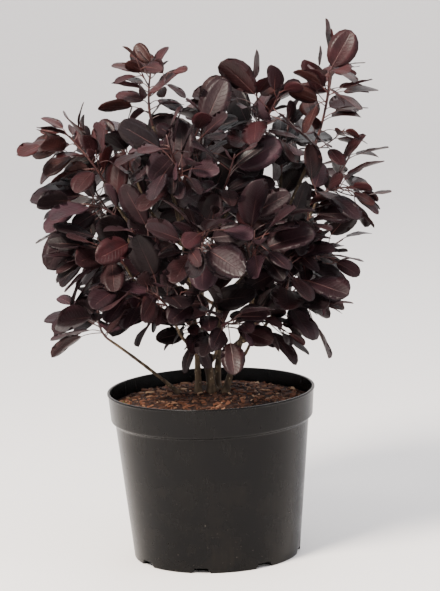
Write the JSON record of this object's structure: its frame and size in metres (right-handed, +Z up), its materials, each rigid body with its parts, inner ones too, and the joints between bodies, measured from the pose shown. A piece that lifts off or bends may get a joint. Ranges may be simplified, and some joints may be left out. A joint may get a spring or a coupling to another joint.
{
  "type": "potted purple smoke bush",
  "caption": "Young purple-leaved smoke bush in a round black nursery pot: bare stems, spreading boughs and masses of dark oval leaves over bark mulch.",
  "frame": {"origin": "centre of the flat underside of the pot", "axes": "+Z up along the pot's axis, -Y towards the viewer of the picture, +X to that viewer's right"},
  "size_m": [0.4949, 0.4459, 0.7183],
  "materials": {
    "pot_plastic": "satin moulded black polypropylene, dusty",
    "potting_mix": "damp bark mulch",
    "bark": "thin grey-brown bark with pale lenticels",
    "foliage": "matt dark purple leaves with a waxy bloom"
  },
  "bodies": {
    "root": {"pot": "pot_plastic", "potting_mix": "potting_mix", "stem_centre": "bark", "stem_left": "bark", "stem_right": "bark", "stem_back": "bark", "stem_low_left": "bark", "bough_top": "bark", "bough_upper_right": "bark", "bough_far_left": "bark", "bough_left_upper": "bark", "bough_left_mid": "bark", "bough_left_low": "bark", "bough_front_upper": "bark", "bough_front": "bark", "bough_front_left": "bark", "bough_front_low": "bark", "bough_front_right": "bark", "bough_right_mid": "bark", "bough_right_low": "bark", "bough_bottom_right": "bark", "bough_bottom_centre": "bark", "bough_back_left": "bark", "bough_back_right": "bark", "bough_back": "bark", "bough_back_low_left": "bark", "bough_back_low_right": "bark", "shoot_high_right": "foliage", "shoot_high_left": "foliage", "shoot_far_left": "foliage", "shoot_left_mid": "foliage", "shoot_left_low": "foliage", "shoot_low_left": "foliage", "shoot_top": "foliage", "shoot_crown_left": "foliage", "shoot_left_upper": "foliage", "shoot_upper_right": "foliage", "shoot_right_mid": "foliage", "shoot_right_low": "foliage", "shoot_bottom_right": "foliage", "shoot_bottom_centre": "foliage", "shoot_front_upper": "foliage", "shoot_front": "foliage", "shoot_front_right": "foliage", "shoot_front_left": "foliage", "shoot_front_low": "foliage", "shoot_heart_left": "foliage", "shoot_heart_top": "foliage", "shoot_heart_right": "foliage", "shoot_side_left": "foliage", "shoot_side_right": "foliage", "shoot_heart_back": "foliage", "shoot_foot": "foliage", "shoot_back_top": "foliage", "shoot_back_left": "foliage", "shoot_back_right": "foliage", "shoot_back": "foliage", "shoot_back_low_left": "foliage", "shoot_back_low_right": "foliage"}
  },
  "joints": []
}
